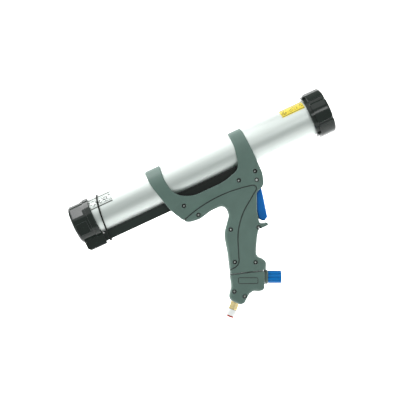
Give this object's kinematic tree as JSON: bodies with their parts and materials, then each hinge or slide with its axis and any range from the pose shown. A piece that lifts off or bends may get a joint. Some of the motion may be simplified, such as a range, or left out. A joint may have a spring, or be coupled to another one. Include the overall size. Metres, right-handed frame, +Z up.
{
  "type": "caulking gun",
  "caption": "Air-powered sausage caulking gun: long aluminium barrel with screw front cap, under-slung air rail, pistol grip, trigger and regulator.",
  "frame": {"origin": "on the barrel's axis, at the front face of the front cap", "axes": "+X out of the nozzle end along the barrel, +Z up, away from the grip, the two handle shells meeting on Y = 0"},
  "size_m": [0.415, 0.0704, 0.2602],
  "materials": {
    "bare_aluminium": "satin drawn tube",
    "yellow_label": "printed vinyl sticker",
    "silver_label": "printed foil sticker",
    "gloss_black": "glossy moulded",
    "white_nylon": "natural nylon",
    "seal_rubber": "nitrile rubber",
    "band_rubber": "matt rubber",
    "rail_black": "satin black anodised",
    "piston_plastic": "moulded acetal",
    "shell_grey": "fine-textured moulded",
    "screw_steel": "black-zinc steel",
    "trigger_blue": "moulded",
    "knob_blue": "moulded",
    "collar_black": "moulded",
    "valve_brass": "turned",
    "stem_steel": "ground",
    "tube_plastic": "nylon air line",
    "fitting_brass": "turned and polished",
    "coupling_white": "moulded",
    "release_red": "moulded"
  },
  "bodies": {
    "gun": {"barrel_tube": "bare_aluminium", "front_label": "yellow_label", "rear_label": "silver_label", "rear_cap": "gloss_black", "barrel_seal": "seal_rubber", "air_rail": "rail_black", "rail_plug": "white_nylon", "rail_band": "band_rubber", "right_shell": "shell_grey", "left_shell": "shell_grey", "shell_screws": "screw_steel", "trigger_pin": "screw_steel", "valve_body": "valve_brass", "outlet_tube": "tube_plastic", "right_housing": "shell_grey", "left_housing": "shell_grey", "housing_screws": "screw_steel", "regulator_body": "valve_brass", "regulator_diaphragm": "seal_rubber", "regulator_collar": "collar_black", "inlet_tube": "tube_plastic", "inlet_adaptor": "fitting_brass", "inlet_coupling": "coupling_white", "barrel_rest": "band_rubber", "valve_spring": "stem_steel", "regulator_spring": "stem_steel"},
    "plunger": {"piston": "piston_plastic", "piston_wiper": "seal_rubber", "piston_seal": "seal_rubber"},
    "washer": {"slip_washer": "white_nylon"},
    "cap": {"front_cap": "gloss_black"},
    "trigger": {"trigger": "trigger_blue"},
    "valve": {"valve_stem": "stem_steel", "valve_seals": "seal_rubber"},
    "knob": {"regulator_knob": "knob_blue", "regulator_spindle": "stem_steel"},
    "seat": {"spring_seat": "valve_brass"},
    "collet": {"release_ring": "release_red"}
  },
  "joints": [
    {"name": "piston_travel", "type": "slide", "parent": "gun", "child": "plunger", "axis": [1, 0, 0], "range_m": [0, 0.34]},
    {"name": "cap_travel", "type": "slide", "parent": "gun", "child": "washer", "axis": [1, 0, 0], "range_m": [0, 0.0082]},
    {"name": "cap_turn", "type": "hinge", "parent": "washer", "child": "cap", "pos_m": [0, 0, 0], "axis": [1, 0, 0], "range_deg": [0, 720]},
    {"name": "trigger_pull", "type": "hinge", "parent": "gun", "child": "trigger", "pos_m": [-0.1407, 0, -0.0519], "axis": [0, 1, 0], "range_deg": [0, 9], "stiffness_Nm_per_rad": 0.6, "springref_deg": -20.05},
    {"name": "valve_push", "type": "slide", "parent": "gun", "child": "valve", "axis": [-1, 0, 0], "range_m": [0, 0.00485], "deforming": ["valve_spring"]},
    {"name": "regulator_turn", "type": "hinge", "parent": "gun", "child": "knob", "pos_m": [-0.186, 0, -0.1906], "axis": [-0.907, 0, 0.421], "range_deg": [0, 1080]},
    {"name": "seat_travel", "type": "slide", "parent": "gun", "child": "seat", "axis": [-0.907, 0, 0.421], "range_m": [0, 0.00377], "deforming": ["regulator_spring"]},
    {"name": "release_push", "type": "slide", "parent": "gun", "child": "collet", "axis": [0.7071, 0, 0.7071], "range_m": [0, 0.0012], "stiffness_N_per_m": 300, "springref_m": -0.003}
  ],
  "couplings": [
    {"joint": "cap_travel", "follows": "cap_turn", "m_per_rad": 0.00063662},
    {"joint": "valve_push", "follows": "trigger_pull", "m_per_rad": 0.0303},
    {"joint": "seat_travel", "follows": "regulator_turn", "m_per_rad": 0.00019894}
  ]
}
